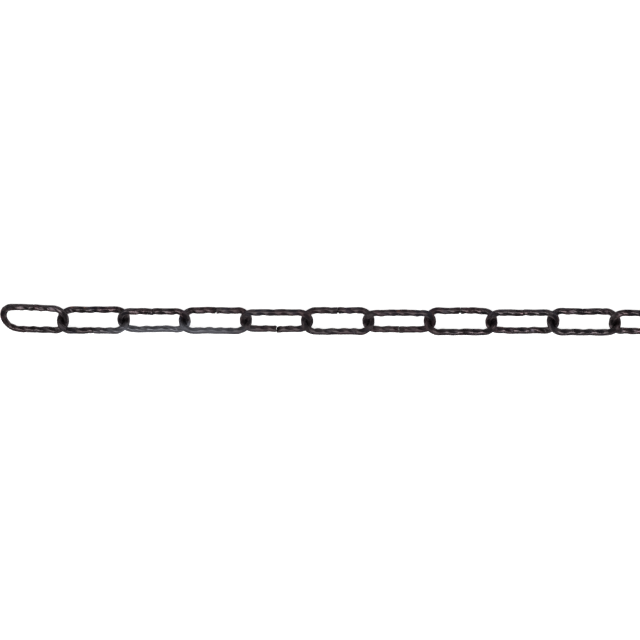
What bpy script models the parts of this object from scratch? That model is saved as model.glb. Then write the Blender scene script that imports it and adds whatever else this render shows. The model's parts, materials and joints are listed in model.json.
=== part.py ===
"""Hammered iron chain, a 1 m length of 23 oval wire links, laid straight on a level floor.

Each link is one piece of round wire, bent to two straight sides and two half-round bows and butted,
not welded, in the middle of one side. The links hang in one another by their bows: a left-hand bow
always passes through the bow before it. Neighbours lean opposite ways, so each link rests on its low
side, and the odd links hold their far side (+Y) up while the even links hold their near side (-Y) up.

The chain runs along +X. The origin is in the middle of its length and width, on the floor. Each link
after the first has its object origin on the axis it swings about, which is the end of the bow that it
hangs in, and is parented to the link before it.
"""

import math

import bpy
import numpy as np
from mathutils import Euler, Matrix, Vector

MM = 0.001

# The wire and the link
WIRE_RADIUS = 2.0 * MM
LINK_LENGTH = 51.9 * MM
LINK_WIDTH = 20.9 * MM
SEAM_GAP = 0.3 * MM
WIRE_SIDES = 10
BOW_STEPS = 10
SHARP_EDGE = math.radians(50)

# The first link was squeezed on its end: shorter, wider and lying a little askew
FIRST_LINK_SHORTER = 2.6 * MM
FIRST_LINK_WIDER = 1.0 * MM
FIRST_LINK_TURN = math.radians(-2.2)

# The chain as it lies
LINK_COUNT = 23
BOW_CLEARANCE = 0.3 * MM
HEIGHT_STEP = 1.2 * MM
SEEN_TILTS = (31, 30, 43, 33, 47, 29, 47, 28, 43, 31, 42)
SEEN_SEAMS = "FNFFNFNFFFN"
PITCH_LIMITS = (0.7, 0.9)
PITCH_HALVINGS = 24
SAMPLES_PER_STEP = 12

# Dark bronze-black finish
IRON_COLOUR = (0.042, 0.034, 0.037)
IRON_METALLIC = 0.75
IRON_ROUGHNESS = 0.42


def repeated(values, number):
    """The value read for a link. Past the last one seen, the run from the second to the last repeats."""
    if number < len(values):
        return values[number]
    return values[1 + (number - len(values)) % (len(values) - 1)]


class Link:
    """One link's sizes and lie: number counts from 0, and centre is the middle of its oval."""

    def __init__(self, number):
        first = number == 0
        self.number = number
        self.name = f"link_{number + 1:02d}"
        self.tilt = math.radians(repeated(SEEN_TILTS, number))
        self.turn = FIRST_LINK_TURN if first else 0.0
        self.seam_side = 1 if repeated(SEEN_SEAMS, number) == "F" else -1
        length = LINK_LENGTH - (FIRST_LINK_SHORTER if first else 0.0)
        width = LINK_WIDTH + (FIRST_LINK_WIDER if first else 0.0)
        self.bow_radius = width / 2 - WIRE_RADIUS
        self.half_straight = length / 2 - WIRE_RADIUS - self.bow_radius
        self.tip = self.half_straight + self.bow_radius
        self.centre = Vector((0.0, 0.0, self.resting_height()))

    def resting_height(self):
        """Height of the centre with the flat under the low side on the floor."""
        flat_depth = WIRE_RADIUS * math.cos(math.pi / WIRE_SIDES)
        return flat_depth + self.bow_radius * math.sin(self.tilt)

    def rotation(self):
        """Odd links lean up on the far side, even ones on the near side."""
        lean = self.tilt if self.number % 2 == 0 else -self.tilt
        return Euler((lean, 0.0, self.turn)).to_matrix()

    def bow_end(self):
        """The end of the wire's centreline at the right-hand bow."""
        return self.centre + self.rotation() @ Vector((self.tip, 0.0, 0.0))

    def width_direction(self):
        """The direction across the link, in its own plane."""
        return self.rotation() @ Vector((0.0, 1.0, 0.0))

    def path(self):
        """Ring centres and outward normals of the wire, from one side of the seam round to the other."""
        angles = np.linspace(math.pi / 2, -math.pi / 2, BOW_STEPS + 1)
        outward = np.column_stack([np.cos(angles), np.sin(angles), np.zeros_like(angles)])
        right = outward * self.bow_radius + [self.half_straight, 0.0, 0.0]
        start = [[SEAM_GAP / 2, self.bow_radius, 0.0]]
        end = [[-SEAM_GAP / 2, self.bow_radius, 0.0]]
        centres = np.vstack([start, right, -right, end])
        normals = np.vstack([[[0.0, 1.0, 0.0]], outward, -outward, [[0.0, 1.0, 0.0]]])
        return centres * self.seam_side, normals * self.seam_side

    def bow_line(self, side):
        """Close points along the centreline of one bow, turned as the link lies: side is 1 or -1."""
        centres = self.path()[0] * self.seam_side
        first = 1 if side > 0 else BOW_STEPS + 2
        rings = centres[first:first + BOW_STEPS + 1]
        steps = np.linspace(0.0, BOW_STEPS, BOW_STEPS * SAMPLES_PER_STEP + 1)
        line = np.column_stack([np.interp(steps, np.arange(BOW_STEPS + 1), rings[:, k]) for k in range(3)])
        return line @ np.array(self.rotation()).T + np.array(self.centre)


def settle_heights(links):
    """A flat-lying link hangs in steeper neighbours' bows, at most HEIGHT_STEP below them."""
    for _ in links:
        for left, right in zip(links, links[1:]):
            left.centre.z = max(left.centre.z, right.centre.z - HEIGHT_STEP)
            right.centre.z = max(right.centre.z, left.centre.z - HEIGHT_STEP)


def least_distance(points, others):
    """The shortest distance between two lines of points."""
    return np.linalg.norm(points[:, None] - others[None], axis=2).min()


def pull_taut(left, right):
    """Moves the right link along X until its bow is one clearance from the bow that it hangs in."""
    right.centre.x = left.centre.x
    hook = left.bow_line(1)
    eye = right.bow_line(-1)
    near, far = (share * LINK_LENGTH for share in PITCH_LIMITS)
    for _ in range(PITCH_HALVINGS):
        middle = (near + far) / 2
        gap = least_distance(hook, eye + [middle, 0.0, 0.0]) - 2 * WIRE_RADIUS
        if gap < BOW_CLEARANCE:
            far = middle
        else:
            near = middle
    right.centre.x += near


def lay_chain():
    """All the links in their places, with the middle of the chain's length and width over the origin."""
    links = [Link(number) for number in range(LINK_COUNT)]
    links[0].centre.y = -links[0].bow_end().y
    settle_heights(links)
    for left, right in zip(links, links[1:]):
        pull_taut(left, right)
    points = np.vstack([link_points(link) @ np.array(link.rotation()).T + link.centre for link in links])
    middle = (points.min(axis=0) + points.max(axis=0)) / 2
    for link in links:
        link.centre -= Vector((middle[0], middle[1], 0.0))
    return links


def link_points(link):
    """Corners of the wire's rings about the link's centre, turned so that one flat faces the floor."""
    centres, normals = link.path()
    first_corner = link.tilt - math.pi / 2 + math.pi / WIRE_SIDES
    corners = first_corner + 2 * math.pi * np.arange(WIRE_SIDES) / WIRE_SIDES
    across = np.cos(corners)[None, :, None] * normals[:, None, :]
    upward = np.sin(corners)[None, :, None] * np.array([0.0, 0.0, 1.0])
    return (centres[:, None, :] + WIRE_RADIUS * (across + upward)).reshape(-1, 3)


def link_faces(ring_count):
    """Quads between neighbouring rings, and a flat cap at each end of the wire."""
    ring = np.arange(WIRE_SIDES)
    after = (ring + 1) % WIRE_SIDES
    base = WIRE_SIDES * np.arange(ring_count - 1)[:, None]
    quads = np.stack([base + ring, base + after, base + WIRE_SIDES + after, base + WIRE_SIDES + ring], axis=-1)
    first_cap = ring[::-1].tolist()
    last_cap = (ring + WIRE_SIDES * (ring_count - 1)).tolist()
    return quads.reshape(-1, 4).tolist() + [first_cap, last_cap]


def iron():
    """The one finish of the whole chain."""
    material = bpy.data.materials.new("hammered_iron")
    material.use_nodes = True
    shader = material.node_tree.nodes["Principled BSDF"]
    shader.inputs["Base Color"].default_value = (*IRON_COLOUR, 1.0)
    shader.inputs["Metallic"].default_value = IRON_METALLIC
    shader.inputs["Roughness"].default_value = IRON_ROUGHNESS
    return material


def add_link(link, previous, previous_object, material):
    """Makes a link's object. Its origin is on its swing axis, or at its own centre if it is the first."""
    origin = previous.bow_end() if previous else link.centre
    turned = link.rotation()
    to_origin = turned.transposed() @ (link.centre - origin)
    points = link_points(link) + np.array(to_origin)
    ring_count = len(points) // WIRE_SIDES
    mesh = bpy.data.meshes.new(link.name)
    mesh.from_pydata(points.tolist(), [], link_faces(ring_count))
    mesh.materials.append(material)
    mesh.shade_smooth()
    mesh.set_sharp_from_angle(angle=SHARP_EDGE)
    item = bpy.data.objects.new(link.name, mesh)
    bpy.context.scene.collection.objects.link(item)
    place = Matrix.Translation(origin) @ turned.to_4x4()
    if previous_object:
        item.parent = previous_object
        item.matrix_local = previous_object.matrix_world.inverted() @ place
    else:
        item.matrix_world = place
    bpy.context.view_layer.update()
    return item


def main():
    for item in list(bpy.data.objects):
        bpy.data.objects.remove(item, do_unlink=True)
    material = iron()
    previous, previous_object = None, None
    for link in lay_chain():
        previous_object = add_link(link, previous, previous_object, material)
        previous = link


main()
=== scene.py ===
"""The looks of a 1 m length of hammered iron chain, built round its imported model.

Every link of the model is made again as hammered wire: the same oval in the same place, with the
struck flats, the pinched butt seam and the lacquer of the real one. The camera looks down on the
first eleven links, as in the photograph. The file is laid out as a Blender add-on.
"""

import json
import math
from typing import NamedTuple

import bpy
import numpy as np
from bpy.props import FloatProperty, FloatVectorProperty, IntProperty, PointerProperty, StringProperty
from mathutils import Euler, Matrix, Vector


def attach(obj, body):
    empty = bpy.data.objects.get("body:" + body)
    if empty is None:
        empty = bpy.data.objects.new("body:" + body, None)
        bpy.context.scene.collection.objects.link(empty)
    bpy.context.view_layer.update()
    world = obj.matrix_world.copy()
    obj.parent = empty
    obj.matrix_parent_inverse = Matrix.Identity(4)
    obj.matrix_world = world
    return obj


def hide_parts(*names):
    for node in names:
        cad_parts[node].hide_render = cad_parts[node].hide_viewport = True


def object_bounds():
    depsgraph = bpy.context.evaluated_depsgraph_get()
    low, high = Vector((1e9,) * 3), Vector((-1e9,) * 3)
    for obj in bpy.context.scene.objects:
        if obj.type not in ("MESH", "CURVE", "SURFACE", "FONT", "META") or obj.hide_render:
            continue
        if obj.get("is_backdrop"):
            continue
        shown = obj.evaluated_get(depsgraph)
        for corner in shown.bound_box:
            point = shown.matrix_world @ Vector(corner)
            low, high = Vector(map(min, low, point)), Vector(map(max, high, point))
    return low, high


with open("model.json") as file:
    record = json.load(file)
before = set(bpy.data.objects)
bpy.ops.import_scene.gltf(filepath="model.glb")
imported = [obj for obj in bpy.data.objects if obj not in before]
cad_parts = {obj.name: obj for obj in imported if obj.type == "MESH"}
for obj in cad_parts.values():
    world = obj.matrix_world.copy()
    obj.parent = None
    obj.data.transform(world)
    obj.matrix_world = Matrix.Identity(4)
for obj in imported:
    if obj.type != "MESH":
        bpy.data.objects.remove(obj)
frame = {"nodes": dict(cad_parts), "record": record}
cad_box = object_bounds()

bl_info = {
    "name": "Hammered Iron Chain",
    "version": (1, 0, 0),
    "blender": (4, 5, 0),
    "location": "View3D > Sidebar > Chain",
    "description": "Hammered wire links round a packed chain, with a stage to show them on",
    "category": "Add Mesh",
}

MM = 0.001
LINK_PREFIX = "hammered_"

# Grid of a link's surface, and the widths of the rings that close an end against its rim
RINGS = 412
SIDES = 40
CAP_STEPS = (0.82, 0.5, 0.2)

# Spread of the blows' depths and lengths, and how far round the wire a flat reaches, in radians
BLOW_DEPTHS = (0.65, 1.15)
BLOW_LENGTHS = (0.85, 1.15)
FLAT_REACH = 1.2

# Exponents are held to this, so that very sharp ridges don't overflow
LARGEST_EXPONENT = 60.0

# How far below the round the rubbing reaches, against the depth of a flat
RUBBING_REACH = 0.5

# The seam: flare of a notch, spread of its width at the two ends, reach of the burr, roll and stray
NOTCH_FLARE = 0.6
NOTCH_WIDTHS = (0.75, 1.3)
BURR_REACH = 0.6 * MM
ROLL_REACH = 0.25 * MM
STRAY_REACH = 9 * MM

# Lengths of the two waves in which the straightened wire wanders
SHORT_WAVE = 13 * MM
LONG_WAVE = 29 * MM

# Wear between links: spacing of the points on a centreline, and how often the surface moves back
CENTRELINE_STEP = 0.25 * MM
WEAR_ROUNDS = 12

# Sizes of the patterns in the lacquer
STREAK_SIZE = 1.6 * MM
CLOUD_SIZE = 14 * MM
GLINT_SIZE = 6 * MM
RUSSET_SIZE = 18 * MM
SCRATCH_SIZE = 0.22 * MM
GRAIN_SIZE = 0.35 * MM
PIT_SPACING = 1.3 * MM
RELIEF_DEPTH = 0.03 * MM

# How the streaks and the scratches are drawn out along the wire
STREAK_DRAW = (0.3, 1.0, 1.0)
SCRATCH_DRAW = (0.05, 1.0, 1.0)

# Numbers of the two colours that go into a Mix node and of the one that comes out
MIX_A = 6
MIX_B = 7
MIX_RESULT = 2

# Softboxes of the stage: name, place and size in metres, watts
SOFTBOXES = (
    ("softbox_over", (-0.25, -0.42, 1.7), (1.0, 0.6), 17.0),
    ("softbox_left", (-1.8, 0.5, 1.2), (0.9, 0.9), 5.0),
    ("softbox_right", (1.6, 0.7, 1.3), (0.9, 0.9), 4.0),
)
SOFTBOX_AIM = (-0.2, 0.0, 0.0)


class Seam(NamedTuple):
    """A butt seam. The sizes are in mm, and the lean is how far the cut leans for its height.

    The inner notch opens on the inner side of the wire and the outer one on the outer side. The gap is
    between the ends, and the step is how far the left-hand end stands further out.
    """

    inner_width: float
    inner_depth: float
    outer_width: float
    outer_depth: float
    gap: float
    step: float
    lean: float


# The first ten as the photograph shows them, and a guess for the eleventh, past the picture's edge
SEAMS = (
    Seam(0.6, 0.8, 0.3, 0.5, 0.03, 0.05, 0.15),
    Seam(0.9, 0.9, 0.8, 0.9, 0.03, -0.05, -0.20),
    Seam(0.4, 0.5, 0.2, 0.3, 0.02, -0.15, -0.10),
    Seam(1.2, 2.4, 0.1, 0.2, 0.03, 0.05, 0.00),
    Seam(3.4, 2.0, 0.7, 1.1, 0.05, -0.12, 0.30),
    Seam(1.6, 1.7, 0.3, 0.5, 0.03, 0.08, -0.10),
    Seam(0.7, 1.0, 0.5, 1.0, 0.05, -0.50, 0.00),
    Seam(2.2, 1.7, 0.2, 0.4, 0.03, 0.05, 0.05),
    Seam(0.4, 0.5, 0.2, 0.4, 0.03, 0.12, 0.10),
    Seam(0.5, 0.7, 0.3, 0.5, 0.03, -0.15, -0.15),
    Seam(0.8, 1.2, 0.3, 0.5, 0.05, 0.10, 0.10),
)


class HammeredWireSettings(bpy.types.PropertyGroup):
    """Sizes of the wire and of the marks that the hammer rolls left in it."""

    wire_radius: FloatProperty(
        name="Wire Radius", description="From the axis to the ridges between the flats",
        default=2.4 * MM, unit="LENGTH", precision=5)
    model_radius: FloatProperty(
        name="Model Wire Radius", description="Radius of the plain wire in the packed model",
        default=2.0 * MM, unit="LENGTH", precision=5)
    flat_depth: FloatProperty(
        name="Flat Depth", description="How far the middle of a struck flat lies below the round",
        default=0.52 * MM, unit="LENGTH", precision=5)
    flat_length: FloatProperty(
        name="Flat Length", description="Length of a struck flat along the wire",
        default=6.6 * MM, unit="LENGTH", precision=4)
    flat_pitch: FloatProperty(
        name="Flat Pitch", description="Distance from one flat to the next in its row",
        default=8.1 * MM, unit="LENGTH", precision=4)
    flat_rows: IntProperty(
        name="Rows", description="Rows of flats round the wire", default=5, min=3)
    flat_slant: FloatProperty(
        name="Slant", default=0.85,
        description="How far a flat leans along the wire for each width that it goes round it")
    row_stagger: FloatProperty(
        name="Row Stagger", default=0.31,
        description="How far each row starts behind the last, against the pitch")
    place_spread: FloatProperty(
        name="Place Spread", default=0.05,
        description="How far the blows miss their places along the wire, against the pitch")
    facing_spread: FloatProperty(
        name="Facing Spread", default=0.1,
        description="How far the blows miss their rows, against the space between rows")
    ridge_softness: FloatProperty(
        name="Ridge Softness", description="How much the ridges between flats are rounded",
        default=0.015 * MM, unit="LENGTH", precision=6)
    seat_radius: FloatProperty(
        name="Seat Radius", description="From the axis to the inner side of a bow, before links rub it",
        default=2.6 * MM, unit="LENGTH", precision=5)
    bow_wire_radius: FloatProperty(
        name="Bow Wire Radius", description="From the axis to the worn ridges at the end of a bow",
        default=2.08 * MM, unit="LENGTH", precision=5)
    rub_clearance: FloatProperty(
        name="Rub Clearance", description="Space left between two links where they rub",
        default=0.015 * MM, unit="LENGTH", precision=6)
    first_bow_skew: FloatProperty(
        name="First Bow Skew", default=0.16,
        description="How far the free end of the chain was pushed out of square")
    first_bow_push: FloatProperty(
        name="First Bow Push", description="How far the free end of the chain was pushed in",
        default=0.68 * MM, unit="LENGTH", precision=5)
    sway: FloatProperty(
        name="Sway", description="How far the straightened wire still wanders from its line",
        default=0.12 * MM, unit="LENGTH", precision=5)
    end_stray: FloatProperty(
        name="End Stray", description="How far the two ends miss one another up or down at the seam",
        default=0.14 * MM, unit="LENGTH", precision=5)
    end_rounding: FloatProperty(
        name="End Rounding", description="How far the sheared edges are rolled in at the seam",
        default=0.25 * MM, unit="LENGTH", precision=5)
    burr_height: FloatProperty(
        name="Burr Height", description="How far the sheared lips stand up beside the notch",
        default=0.28 * MM, unit="LENGTH", precision=5)
    seed: IntProperty(name="Seed", description="Picks the pattern of blows", default=7)


class IronFinishSettings(bpy.types.PropertyGroup):
    """Colours and gloss of the lacquered iron."""

    lacquer: StringProperty(
        name="Lacquer", description="Black-brown of the lacquer", default="#383335")
    rubbed: StringProperty(
        name="Rubbed Brown", description="Where handling rubbed the ridges", default="#585153")
    violet: StringProperty(
        name="Violet Cast", description="Cool cast of thick lacquer", default="#343239")
    # Painted reflection: a lighter grey-lavender colour on the near wires of one stretch, standing in for
    # a light reflected in them
    painted_reflection: StringProperty(
        name="Greyed Lacquer", description="Thin, greyer lacquer of one stretch", default="#66676e")
    copper: StringProperty(
        name="Copper Glint", description="Bare warm spots on a few ridges", default="#725c51")
    russet: StringProperty(
        name="Russet Tint", description="Warm tint of thin, browned lacquer", default="#ffecee")
    cut_steel: StringProperty(
        name="Cut End", description="Sheared metal at the seam", default="#3a3435")
    # Where the painted reflection lies, and how much rougher the wire is under it
    painted_reflection_centre: FloatVectorProperty(
        name="Greyed Centre", description="Middle of the stretch with thin, greyer lacquer", size=3,
        default=(-0.376, -0.009, 0.004), unit="LENGTH", precision=4)
    painted_reflection_reach: FloatVectorProperty(
        name="Greyed Reach", description="Half length, width and height of that stretch", size=3,
        default=(0.057, 0.008, 0.02), unit="LENGTH", precision=4)
    painted_reflection_dulling: FloatProperty(
        name="Greyed Dulling", description="How much rougher the thin, greyer lacquer is", default=0.13)
    dulled_centre: FloatVectorProperty(
        name="Dulled Centre", description="Middle of the stretch with duller lacquer", size=3,
        default=(-0.266, 0.0, 0.0), unit="LENGTH", precision=4)
    dulled_reach: FloatVectorProperty(
        name="Dulled Reach", description="Half length, width and height of that stretch", size=3,
        default=(0.088, 0.1, 0.1), unit="LENGTH", precision=4)
    dulling: FloatProperty(
        name="Dulling", description="How much rougher the duller lacquer is", default=0.22)
    roughness: FloatProperty(
        name="Roughness", description="Roughness of the satin lacquer", default=0.26, min=0.0, max=1.0)


class ChainStageSettings(bpy.types.PropertyGroup):
    """Floor, light and camera."""

    view_width: FloatProperty(
        name="View Width", description="Length of chain across the picture",
        default=0.4503, unit="LENGTH")
    view_height: FloatProperty(
        name="Camera Height", description="Height of the camera above the wire",
        default=1.2, unit="LENGTH")
    wire_height: FloatProperty(
        name="Wire Height", description="Height at which the camera takes the wire to lie",
        default=7.5 * MM, unit="LENGTH", precision=4)
    view_centre: FloatVectorProperty(
        name="View Centre", description="Point under the middle of the picture", size=2,
        default=(-0.27251, -0.0002), unit="LENGTH", precision=5)
    view_tilt: FloatProperty(
        name="Tilt", description="The camera stands a little to the right of what it looks at",
        default=math.radians(1.5), unit="ROTATION")
    view_roll: FloatProperty(
        name="Roll", description="The chain slopes a little down to the right",
        default=math.radians(0.21), unit="ROTATION")
    floor: StringProperty(
        name="Floor", description="White of the light table", default="#fbfbfb")
    floor_glow: FloatProperty(
        name="Floor Glow", description="Light that the table gives of itself", default=0.75, min=0.0)
    floor_width: FloatProperty(
        name="Floor Width", description="Width of the square floor", default=80.0, unit="LENGTH")
    sight: FloatProperty(
        name="Sight", description="How far the camera sees", default=200.0, unit="LENGTH")
    room_light: FloatProperty(
        name="Room Light", description="Even white light from all round", default=0.27, min=0.0)


def linear_colour(text):
    """An sRGB hex colour as linear red, green, blue and full alpha."""
    values = [int(text[k:k + 2], 16) / 255 for k in (1, 3, 5)]
    return tuple(v / 12.92 if v <= 0.04045 else ((v + 0.055) / 1.055) ** 2.4 for v in values) + (1.0,)


def add_node(tree, kind, inputs=None, **settings):
    """Adds a node of that kind with its settings. An input is linked to a socket, or set to a value."""
    node = tree.nodes.new(kind)
    for name, value in settings.items():
        setattr(node, name, value)
    for name, value in (inputs or {}).items():
        if isinstance(value, bpy.types.NodeSocket):
            tree.links.new(value, node.inputs[name])
        else:
            node.inputs[name].default_value = value
    return node


def new_material(name):
    """A new material, its node tree and its Principled shader."""
    material = bpy.data.materials.new(name)
    material.use_nodes = True
    tree = material.node_tree
    return material, tree, tree.nodes["Principled BSDF"]


def seam_of_link(number):
    """The seam of a link, counted from 1. Past the last in the table, those from the second on repeat."""
    if number <= len(SEAMS):
        return SEAMS[number - 1]
    return SEAMS[1 + (number - 1 - len(SEAMS)) % (len(SEAMS) - 1)]


class LinkLie:
    """Where a packed link lies, and the sizes of the oval that its wire's centreline runs along.

    The axes are the principal directions of the link's corners: along it, across it and out of it. The
    half sizes are half the spread of the corners along them. The seam has two more rings of corners
    than the side opposite, so the mean of the corners lies on its side of the centre. The seam's axes
    are turned about the last one, so that the seam is on their upper side.
    """

    def __init__(self, node, wire_radius):
        corners = np.empty(len(node.data.vertices) * 3)
        node.data.vertices.foreach_get("co", corners)
        corners = np.unique(np.round(corners.reshape(-1, 3), 7), axis=0)
        middle = corners.mean(axis=0)
        directions = np.linalg.eigh(np.cov((corners - middle).T))[1]
        along = directions[:, 2] * np.sign(directions[0, 2])
        across = directions[:, 1] * np.sign(directions[1, 1])
        self.axes = np.stack([along, across, np.cross(along, across)])
        local = (corners - middle) @ self.axes.T
        high = local.max(axis=0)
        low = local.min(axis=0)
        self.centre = middle + self.axes.T @ ((high + low) / 2)
        self.seam_side = np.sign((middle - self.centre) @ across)
        self.seam_axes = self.axes * np.array([[self.seam_side], [self.seam_side], [1.0]])
        half_length, half_width = ((high - low) / 2)[:2]
        self.half_straight = half_length - half_width
        self.bow_radius = half_width - wire_radius
        self.length = 4 * self.half_straight + 2 * math.pi * self.bow_radius

    def oval_at(self, distance):
        """Points, outward normals and share of bend of the oval at given distances along it.

        The line starts in the middle of the upper side and goes clockwise: half a side, a half circle
        of the bow radius, a whole side, a half circle, half a side. On a side the normal is straight up
        or down. On a bow it turns evenly by distance / radius. The bend is nothing on a side and goes
        as sin(pi x share of the bow) squared on a bow.
        """
        bow = math.pi * self.bow_radius
        starts = np.cumsum([0.0, self.half_straight, bow, 2 * self.half_straight, bow])
        part = np.maximum(np.searchsorted(starts, distance, side="right") - 1, 0)
        into = distance - starts[part]
        turned = into / self.bow_radius
        up = np.full_like(distance, math.pi / 2)
        right = np.full_like(distance, self.half_straight)
        angle = np.choose(part, [up, up - turned, -up, -up - turned, up])
        middle = np.choose(part, [into, right, right - into, -right, into - right])
        normal = np.stack([np.cos(angle), np.sin(angle), np.zeros_like(angle)], axis=-1)
        point = normal * self.bow_radius
        point[..., 0] += middle
        bend = np.where(part % 2 == 1, np.sin(math.pi * into / bow) ** 2, 0.0)
        return point, normal, bend

    def centreline(self):
        """Points along the centreline in its place, close enough to measure distances from."""
        distance = np.arange(0.0, self.length, CENTRELINE_STEP)
        return self.oval_at(distance)[0] @ self.axes + self.centre


def seam_ends(seam, length, turn, inner, wire, rng):
    """How far along the wire its two ends lie, at each turn round it.

    Each end stands back by half the gap and by half of each notch's width x (1 - height above the
    notch's side of the wire / notch depth) to the power of the flare, and leans by lean x wire radius x
    cos(turn).
    """
    across_wire = 2 * wire.wire_radius
    inner_share = np.clip(1 - (1 - inner) * across_wire / (seam.inner_depth * MM), 0, 1)
    outer_share = np.clip(1 - inner * across_wire / (seam.outer_depth * MM), 0, 1)
    notch = seam.inner_width * MM / 2 * inner_share ** NOTCH_FLARE
    notch = notch + seam.outer_width * MM / 2 * outer_share ** NOTCH_FLARE
    half_gap = seam.gap * MM / 2
    leaning = seam.lean * wire.wire_radius * np.cos(turn)
    near = half_gap + notch * rng.uniform(*NOTCH_WIDTHS) + leaning
    far = length - half_gap - notch * rng.uniform(*NOTCH_WIDTHS) + leaning
    return near, far


def struck_radius(distance, turn, length, wire, rng):
    """Radius of hammered wire at a distance along it and a turn round it.

    Each blow leaves a flat, whose radius at an angle a from its middle is (wire radius - depth x (1 -
    (offset / half length) squared)) / cos(a), with the offset taken along the wire and slanted with the
    angle, and the cosine taken no further round than the reach of a flat. The wire's radius is the
    smooth least of the round and all flats, -s log(sum of exp(-radius / s)) for a ridge softness s. The
    blows stand in rows round the wire, each row a part of a pitch further on, with their places, depths
    and lengths varied a little.
    """
    per_row = int(round(length / wire.flat_pitch)) + 2
    row, place = np.meshgrid(np.arange(wire.flat_rows), np.arange(per_row) - 0.5, indexing="ij")
    count = row.size
    missed = rng.normal(0, wire.place_spread, count)
    middle = wire.flat_pitch * ((place + wire.row_stagger * row).ravel() + missed)
    facing = 2 * math.pi * (row.ravel() + rng.normal(0, wire.facing_spread, count)) / wire.flat_rows
    depth = wire.flat_depth * rng.uniform(*BLOW_DEPTHS, count)
    half = wire.flat_length / 2 * rng.uniform(*BLOW_LENGTHS, count)
    aside = (turn[..., None] - facing + math.pi) % (2 * math.pi) - math.pi
    offset = distance[..., None] - middle - wire.flat_slant * wire.wire_radius * aside
    away = wire.wire_radius - depth + depth * (offset / half) ** 2
    flats = away / np.cos(np.clip(aside, -FLAT_REACH, FLAT_REACH))
    power = np.minimum((wire.wire_radius - flats) / wire.ridge_softness, LARGEST_EXPONENT)
    return wire.wire_radius - wire.ridge_softness * np.log1p(np.exp(power).sum(axis=-1))


def worked_radius(radius, from_end, bend, inner, wire):
    """Radius with the sheared ends and the bows worked into it.

    Near an end a burr is added, height x exp(-(distance from the end / reach) squared) x inner share to
    the fourth, and the rolled edge is taken off, rounding x exp(-distance / reach) x (1 - inner share to
    the fourth). Towards the end of a bow the radius is no more than the bow's, and on the inner side
    there it goes over to the seat radius, by bend x inner share.
    """
    lip = np.exp(-(from_end / BURR_REACH) ** 2)
    rolled = np.exp(-from_end / ROLL_REACH)
    radius = radius + lip * wire.burr_height * inner ** 4 - rolled * wire.end_rounding * (1 - inner ** 4)
    radius = np.minimum(radius, wire.wire_radius + (wire.bow_wire_radius - wire.wire_radius) * bend)
    seat = bend * inner
    return radius * (1 - seat) + wire.seat_radius * seat


def line_stray(distance, bend, lie, step, wire, rng):
    """How far the centreline strays outwards and out of the link's plane, at distances along it.

    On the sides it sways by the sum of two sine waves outwards, and by one out of the plane. Over the
    last stretch before the seam the step there and the stray of that end are added, by the square of
    the share of the stretch.
    """
    phase = rng.uniform(0, 2 * math.pi, 3)
    waves = 2 * math.pi * distance
    swaying = wire.sway * np.clip(1 - 2 * bend, 0, 1)
    outwards = swaying * (np.sin(waves / SHORT_WAVE + phase[0]) + np.sin(waves / LONG_WAVE + phase[1]))
    upwards = swaying * np.sin(waves / LONG_WAVE + phase[2])
    last_stretch = np.clip(1 - (lie.length - distance) / STRAY_REACH, 0, 1) ** 2
    outwards = outwards + lie.seam_side * step * last_stretch
    upwards = upwards + rng.normal(0, wire.end_stray) * last_stretch
    return outwards, upwards


def rubbed_radius(radius, line, spoke, others, clearance):
    """Radius worn back to where two links meet, half way between their centrelines.

    Along each spoke the point is moved back until its distance to the other centrelines is as great
    as its radius and the clearance: radius -> (radius + distance - clearance) / 2, a few times over.
    """
    radius = radius.copy()

    def distance_at(chosen):
        point = line[chosen] + radius[chosen][:, None] * spoke[chosen]
        squared = (point ** 2).sum(axis=1)[:, None] + (others ** 2).sum(axis=1) - 2 * point @ others.T
        return np.sqrt(np.maximum(squared, 0.0).min(axis=1))

    highest = others.max(axis=0) + radius.max()
    lowest = others.min(axis=0) - radius.max()
    chosen = np.nonzero((line < highest).all(axis=-1) & (line > lowest).all(axis=-1))
    for _ in range(WEAR_ROUNDS):
        away = distance_at(chosen) - clearance
        pressed = away < radius[chosen]
        chosen = tuple(index[pressed] for index in chosen)
        radius[chosen] = (radius[chosen] + away[pressed]) / 2
    return radius


def hammered_surface(lie, wire, seam, others, rng):
    """Surface of a link's wire as rings of points, how worn they are, and their place on unbent wire.

    The surface is a tube: point(distance, turn) = centreline + radius x (cos(turn) x outward normal +
    sin(turn) x the normal of the link's plane). The inner share is (1 - cos(turn)) / 2. A point is worn
    by how little it lies below the round.
    """
    share = np.linspace(0.0, 1.0, RINGS)[:, None]
    turn = 2 * math.pi * np.arange(SIDES)[None, :] / SIDES
    inner = (1 - np.cos(turn)) / 2
    near, far = seam_ends(seam, lie.length, turn, inner, wire, rng)
    distance = near + share * (far - near)
    turn = np.broadcast_to(turn, distance.shape)
    radius = struck_radius(distance, turn, lie.length, wire, rng)
    worn = np.clip(1 - (wire.wire_radius - radius) / (RUBBING_REACH * wire.flat_depth), 0, 1)
    line, normal, bend = lie.oval_at(distance)
    radius = worked_radius(radius, np.minimum(distance - near, far - distance), bend, inner, wire)
    plane = np.array([0.0, 0.0, 1.0])
    spoke = np.cos(turn)[..., None] * normal + np.sin(turn)[..., None] * plane
    outwards, upwards = line_stray(distance, bend, lie, seam.step * MM, wire, rng)
    line = line + outwards[..., None] * normal + upwards[..., None] * plane
    radius = rubbed_radius(
        radius, line @ lie.seam_axes + lie.centre, spoke @ lie.seam_axes, others, wire.rub_clearance)
    unbent = np.stack([distance, radius * np.cos(turn), radius * np.sin(turn)], axis=-1)
    return line + radius[..., None] * spoke, worn, unbent


def end_cap(rim):
    """Points that close an end: rim x step + middle x (1 - step) for each step, and the middle."""
    hub = rim.mean(axis=0)
    steps = np.array(CAP_STEPS)[:, None, None]
    return np.vstack([(rim * steps + hub * (1 - steps)).reshape(-1, 3), hub])


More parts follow.
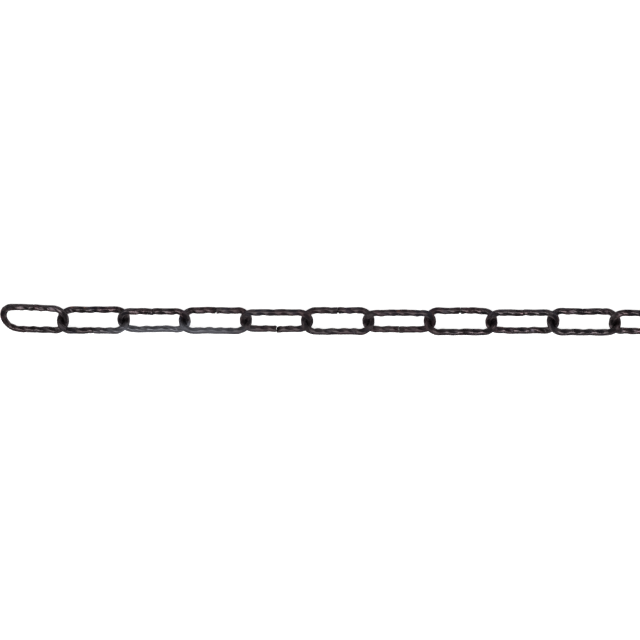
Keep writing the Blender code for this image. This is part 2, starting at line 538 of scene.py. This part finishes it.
def link_faces():
    """Faces of a closed link: quads between neighbouring rings, and a fan round the middle of each cap."""
    ring = np.arange(SIDES)
    after = (ring + 1) % SIDES

    def band(first, second):
        return np.stack([first + ring, first + after, second + after, second + ring], axis=-1)

    tube = SIDES * np.arange(RINGS)
    first_cap = SIDES * (RINGS + np.arange(len(CAP_STEPS)))
    last_cap = first_cap + len(CAP_STEPS) * SIDES + 1
    quads = [band(start, following) for start, following in zip(tube, tube[1:])]
    quads += [band(inside, outside) for outside, inside in zip((tube[0], *first_cap), first_cap)]
    quads += [band(outside, inside) for outside, inside in zip((tube[-1], *last_cap), last_cap)]
    fan = np.stack([ring, after, np.full(SIDES, SIDES)], axis=-1)
    fans = np.vstack([first_cap[-1] + fan[:, ::-1], last_cap[-1] + fan])
    return np.vstack(quads).tolist() + fans.tolist()


def add_attribute(mesh, name, kind, field, values):
    """Adds an attribute of the points, for the material to read."""
    attribute = mesh.attributes.new(name, kind, "POINT")
    attribute.data.foreach_set(field, values.astype(np.float32).ravel())


def hammered_link(name, lie, wire, seam, skew, push, others, rng):
    """One link of hammered wire, an object with a closed mesh.

    A skew and a push move the left-hand bow along by push - skew x distance across, times the sine of
    the share of the way to it. Nothing goes below the floor.
    """
    tube, worn, unbent = hammered_surface(lie, wire, seam, others, rng)
    local = np.vstack([tube.reshape(-1, 3), end_cap(tube[0]), end_cap(tube[-1])])
    past_start = -lie.seam_side * local[:, 0] - lie.half_straight / 2
    into_bow = np.clip(past_start / (lie.bow_radius + lie.half_straight / 2), 0, 1)
    local[:, 0] += (lie.seam_side * push - skew * local[:, 1]) * np.sin(math.pi / 2 * into_bow)
    place = local @ lie.seam_axes + lie.centre
    place[:, 2] = np.maximum(place[:, 2], cad_box[0].z)
    mesh = bpy.data.meshes.new(name)
    mesh.from_pydata(place, [], link_faces())
    cap_points = (len(place) - worn.size) // 2
    cut = np.zeros(worn.shape)
    cut[[0, -1]] = 1.0
    cap_places = [np.tile(unbent[end, 0], (cap_points, 1)) for end in (0, -1)]
    add_attribute(mesh, "worn", "FLOAT", "value", np.append(worn, np.zeros(2 * cap_points)))
    add_attribute(mesh, "cut_end", "FLOAT", "value", np.append(cut, np.ones(2 * cap_points)))
    add_attribute(
        mesh, "unbent", "FLOAT_VECTOR", "vector", np.vstack([unbent.reshape(-1, 3), *cap_places]))
    mesh.update()
    mesh.shade_smooth()
    return bpy.data.objects.new(name, mesh)


def stretch_share(tree, place, centre, reach):
    """How far a place lies inside a stretch: one up to 0.75 of its reach, fading to nothing at 1.15.

    The fade goes by the length of (place - centre) / reach.
    """
    offset = add_node(tree, "ShaderNodeVectorMath", {0: place, 1: centre}, operation="SUBTRACT")
    share = add_node(
        tree, "ShaderNodeVectorMath", {0: offset.outputs[0], 1: reach}, operation="DIVIDE")
    length = add_node(tree, "ShaderNodeVectorMath", {0: share.outputs[0]}, operation="LENGTH")
    return add_node(
        tree, "ShaderNodeMapRange",
        {"Value": length.outputs["Value"], "From Min": 1.15, "From Max": 0.75}).outputs[0]


def lacquer_colour(tree, finish, place, smeared, streaks, thin):
    """Colour of the lacquer, with a painted reflection over the near wires of one stretch, whose share is
    thin. Each coat is mixed over the last one by its share of the surface, and the painted reflection goes
    on last.
    """
    worn = add_node(tree, "ShaderNodeAttribute", attribute_name="worn").outputs["Fac"]
    cut = add_node(tree, "ShaderNodeAttribute", attribute_name="cut_end").outputs["Fac"]
    clouds = add_node(
        tree, "ShaderNodeTexNoise", {"Vector": place, "Scale": 1 / CLOUD_SIZE, "Detail": 2.0})
    glints = add_node(
        tree, "ShaderNodeTexNoise", {"Vector": smeared, "Scale": 1 / GLINT_SIZE, "Detail": 1.0})
    patches = add_node(
        tree, "ShaderNodeTexNoise", {"Vector": smeared, "Scale": 1 / RUSSET_SIZE, "Detail": 3.0})
    worn_streaks = add_node(tree, "ShaderNodeMath", {0: worn, 1: streaks}, operation="MULTIPLY")
    thick_share = add_node(
        tree, "ShaderNodeMapRange", {"Value": clouds.outputs["Fac"], "From Min": 0.42, "From Max": 0.68})
    rubbed_share = add_node(
        tree, "ShaderNodeMapRange",
        {"Value": worn_streaks.outputs[0], "From Min": 0.15, "From Max": 0.6})
    glint_share = add_node(
        tree, "ShaderNodeMapRange", {"Value": glints.outputs["Fac"], "From Min": 0.73, "From Max": 0.79})
    russet_share = add_node(
        tree, "ShaderNodeMapRange", {"Value": patches.outputs["Fac"], "From Min": 0.45, "From Max": 0.6})
    # Painted reflection: the near wires of one stretch made lighter and grey-lavender, broken up by the
    # streaks
    reflection_streaks = add_node(
        tree, "ShaderNodeMapRange",
        {"Value": streaks, "From Min": 0.3, "From Max": 0.62, "To Min": 0.55, "To Max": 0.95})
    painted_reflection_share = add_node(
        tree, "ShaderNodeMath", {0: thin, 1: reflection_streaks.outputs[0]}, operation="MULTIPLY")
    colour = linear_colour(finish.lacquer)
    for share, coat, blend in (
        (thick_share.outputs[0], finish.violet, "MIX"),
        (rubbed_share.outputs[0], finish.rubbed, "MIX"),
        (glint_share.outputs[0], finish.copper, "MIX"),
        (russet_share.outputs[0], finish.russet, "MULTIPLY"),
        (cut, finish.cut_steel, "MIX"),
        # Last, the painted reflection
        (painted_reflection_share.outputs[0], finish.painted_reflection, "MIX"),
    ):
        colour = add_node(
            tree, "ShaderNodeMix", {"Factor": share, MIX_A: colour, MIX_B: linear_colour(coat)},
            data_type="RGBA", blend_type=blend).outputs[MIX_RESULT]
    return colour


def lacquer_roughness(tree, finish, streaks, scratches, thin, dull):
    """Roughness of the lacquer: varied by its streaks and scratches, and more where it is dull and over
    the stretch with the painted reflection (thin).
    """
    rubbings = add_node(tree, "ShaderNodeMath", {0: streaks, 1: scratches}, operation="ADD")
    rough = add_node(
        tree, "ShaderNodeMapRange",
        {"Value": rubbings.outputs[0], "From Min": 0.7, "From Max": 1.3,
         "To Min": finish.roughness - 0.08, "To Max": finish.roughness + 0.1}).outputs[0]
    # Rougher over the stretch with the painted reflection, and over the duller stretch
    for share, dulling in ((thin, finish.painted_reflection_dulling), (dull, finish.dulling)):
        rough = add_node(
            tree, "ShaderNodeMath", {0: share, 1: dulling, 2: rough},
            operation="MULTIPLY_ADD").outputs[0]
    return rough


def lacquer_relief(tree, smeared, scratches):
    """Normal of the lacquer with its grain, scratches and pits, each at most as deep as the relief."""
    grain = add_node(
        tree, "ShaderNodeTexNoise", {"Vector": smeared, "Scale": 1 / GRAIN_SIZE, "Detail": 3.0})
    cells = add_node(tree, "ShaderNodeTexVoronoi", {"Vector": smeared, "Scale": 1 / PIT_SPACING})
    pits = add_node(
        tree, "ShaderNodeMapRange",
        {"Value": cells.outputs["Distance"], "From Min": 0.05, "From Max": 0.2,
         "To Min": -1.0, "To Max": 0.0})
    scratched = add_node(
        tree, "ShaderNodeMath", {0: grain.outputs["Fac"], 1: scratches}, operation="ADD")
    pitted = add_node(
        tree, "ShaderNodeMath", {0: scratched.outputs[0], 1: pits.outputs[0]}, operation="ADD")
    return add_node(
        tree, "ShaderNodeBump",
        {"Height": pitted.outputs[0], "Strength": 0.5, "Distance": RELIEF_DEPTH}).outputs["Normal"]


def lacquered_hammered_iron(finish):
    """Hammered iron wire under black-brown satin lacquer."""
    # Low carbon iron wire, dented by hammer rolls, dipped in dark lacquer and rubbed: nearly black in
    # the flats, brown along the ridges, with a violet cast and a few bare copper-coloured glints. One
    # stretch has a painted reflection that lightens its near wires to grey, and the one after it is
    # duller.
    material, tree, shader = new_material("lacquered_hammered_iron")
    place = add_node(tree, "ShaderNodeTexCoord").outputs["Object"]
    unbent = add_node(tree, "ShaderNodeAttribute", attribute_name="unbent").outputs["Vector"]
    # The streaks follow the wire, and the place in the chain is added so that no two links are alike
    drawn_out = add_node(
        tree, "ShaderNodeVectorMath", {0: unbent, 1: STREAK_DRAW}, operation="MULTIPLY")
    smeared = add_node(
        tree, "ShaderNodeVectorMath", {0: drawn_out.outputs[0], 1: place}, operation="ADD").outputs[0]
    streaks = add_node(
        tree, "ShaderNodeTexNoise",
        {"Vector": smeared, "Scale": 1 / STREAK_SIZE, "Detail": 3.0}).outputs["Fac"]
    # Real scratches are finer than this, and are drawn as wide as they need to be to show
    scratched = add_node(
        tree, "ShaderNodeVectorMath", {0: unbent, 1: SCRATCH_DRAW}, operation="MULTIPLY")
    scratches = add_node(
        tree, "ShaderNodeTexNoise",
        {"Vector": scratched.outputs[0], "Scale": 1 / SCRATCH_SIZE, "Detail": 4.0}).outputs["Fac"]
    # Share of the stretch that gets the painted reflection and its rougher lacquer
    thin = stretch_share(tree, place, finish.painted_reflection_centre, finish.painted_reflection_reach)
    dull = stretch_share(tree, place, finish.dulled_centre, finish.dulled_reach)
    colour = lacquer_colour(tree, finish, place, smeared, streaks, thin)
    roughness = lacquer_roughness(tree, finish, streaks, scratches, thin, dull)
    tree.links.new(colour, shader.inputs["Base Color"])
    tree.links.new(roughness, shader.inputs["Roughness"])
    tree.links.new(lacquer_relief(tree, smeared, scratches), shader.inputs["Normal"])
    # The iron shines through the lacquer, which holds back its glancing reflections
    shader.inputs["Metallic"].default_value = 0.9
    shader.inputs["Specular Tint"].default_value = (0.15, 0.14, 0.145, 1.0)
    return material


def opal_light_table(colour, glow):
    """Matt opal acrylic of a light table."""
    # Opal acrylic lit from behind: white and dead matt, with hardly any shadow left on it.
    material, _, shader = new_material("opal_light_table")
    shader.inputs["Base Color"].default_value = linear_colour(colour)
    shader.inputs["Roughness"].default_value = 0.9
    shader.inputs["Specular IOR Level"].default_value = 0.1
    shader.inputs["Emission Color"].default_value = linear_colour(colour)
    shader.inputs["Emission Strength"].default_value = glow
    return material


class CHAIN_OT_add_links(bpy.types.Operator):
    """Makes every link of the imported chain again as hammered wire"""

    bl_idname = "chain.add_links"
    bl_label = "Add Hammered Links"

    def execute(self, context):
        wire = context.scene.hammered_wire
        material = lacquered_hammered_iron(context.scene.iron_finish)
        bodies = sorted(frame["record"]["behaviour"]["bodies"].items())
        links = [(name, body) for body, names in bodies for name in names]
        lies = [LinkLie(frame["nodes"][name], wire.model_radius) for name, _ in links]
        lines = [lie.centreline() for lie in lies]
        for number, ((name, body), lie) in enumerate(zip(links, lies), start=1):
            rng = np.random.default_rng([wire.seed, number])
            skew, push = (wire.first_bow_skew, wire.first_bow_push) if number == 1 else (0.0, 0.0)
            neighbours = np.vstack(lines[max(number - 2, 0):number - 1] + lines[number:number + 1])
            item = hammered_link(
                LINK_PREFIX + name, lie, wire, seam_of_link(number), skew, push, neighbours, rng)
            context.scene.collection.objects.link(item)
            item.data.materials.append(material)
            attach(item, body)
            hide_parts(name)
        return {"FINISHED"}


class CHAIN_OT_add_stage(bpy.types.Operator):
    """Makes the pale floor, the soft lights and the camera above the chain"""

    bl_idname = "chain.add_stage"
    bl_label = "Add Stage"

    def execute(self, context):
        settings = context.scene.chain_stage
        self.add_floor(context.scene, settings)
        self.add_lights(context.scene, settings)
        self.add_camera(context.scene, settings)
        context.scene.view_settings.view_transform = "Standard"
        return {"FINISHED"}

    def add_floor(self, scene, settings):
        half = settings.floor_width / 2
        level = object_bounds()[0].z
        mesh = bpy.data.meshes.new("floor")
        corners = [(-half, -half, level), (half, -half, level), (half, half, level), (-half, half, level)]
        mesh.from_pydata(corners, [], [(0, 1, 2, 3)])
        mesh.materials.append(opal_light_table(settings.floor, settings.floor_glow))
        floor = bpy.data.objects.new("floor", mesh)
        scene.collection.objects.link(floor)
        floor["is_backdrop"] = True

    def add_lights(self, scene, settings):
        for name, place, size, watts in SOFTBOXES:
            lamp = bpy.data.lights.new(name, "AREA")
            lamp.shape = "RECTANGLE"
            lamp.size, lamp.size_y = size
            lamp.energy = watts
            item = bpy.data.objects.new(name, lamp)
            item.location = place
            aim = Vector(SOFTBOX_AIM) - Vector(place)
            item.rotation_euler = aim.to_track_quat("-Z", "Y").to_euler()
            scene.collection.objects.link(item)
        world = bpy.data.worlds.new("studio")
        world.use_nodes = True
        background = world.node_tree.nodes["Background"]
        background.inputs["Color"].default_value = (1.0, 1.0, 1.0, 1.0)
        background.inputs["Strength"].default_value = settings.room_light
        scene.world = world

    def add_camera(self, scene, settings):
        camera = bpy.data.cameras.new("camera")
        camera.lens = camera.sensor_width * settings.view_height / settings.view_width
        camera.clip_end = settings.sight
        item = bpy.data.objects.new("camera", camera)
        item.rotation_euler = Euler((0.0, settings.view_tilt, settings.view_roll))
        back = item.rotation_euler.to_matrix() @ Vector((0.0, 0.0, settings.view_height))
        item.location = Vector((*settings.view_centre, settings.wire_height)) + back
        scene.collection.objects.link(item)
        scene.camera = item


class CHAIN_PT_panel(bpy.types.Panel):
    """Lists what the add-on makes"""

    bl_idname = "CHAIN_PT_panel"
    bl_label = "Hammered Iron Chain"
    bl_space_type = "VIEW_3D"
    bl_region_type = "UI"
    bl_category = "Chain"

    def draw(self, context):
        for label in ("hammered_wire", "iron_finish", "chain_stage"):
            group = getattr(context.scene, label)
            box = self.layout.box()
            for name in group.__annotations__:
                box.prop(group, name)
        self.layout.operator(CHAIN_OT_add_links.bl_idname)
        self.layout.operator(CHAIN_OT_add_stage.bl_idname)


CLASSES = (
    HammeredWireSettings, IronFinishSettings, ChainStageSettings,
    CHAIN_OT_add_links, CHAIN_OT_add_stage, CHAIN_PT_panel,
)


def register():
    for item in CLASSES:
        bpy.utils.register_class(item)
    bpy.types.Scene.hammered_wire = PointerProperty(type=HammeredWireSettings)
    bpy.types.Scene.iron_finish = PointerProperty(type=IronFinishSettings)
    bpy.types.Scene.chain_stage = PointerProperty(type=ChainStageSettings)


def unregister():
    del bpy.types.Scene.chain_stage
    del bpy.types.Scene.iron_finish
    del bpy.types.Scene.hammered_wire
    for item in reversed(CLASSES):
        bpy.utils.unregister_class(item)


def main():
    register()
    bpy.ops.chain.add_links()
    bpy.ops.chain.add_stage()


if __name__ == "__main__":
    main()
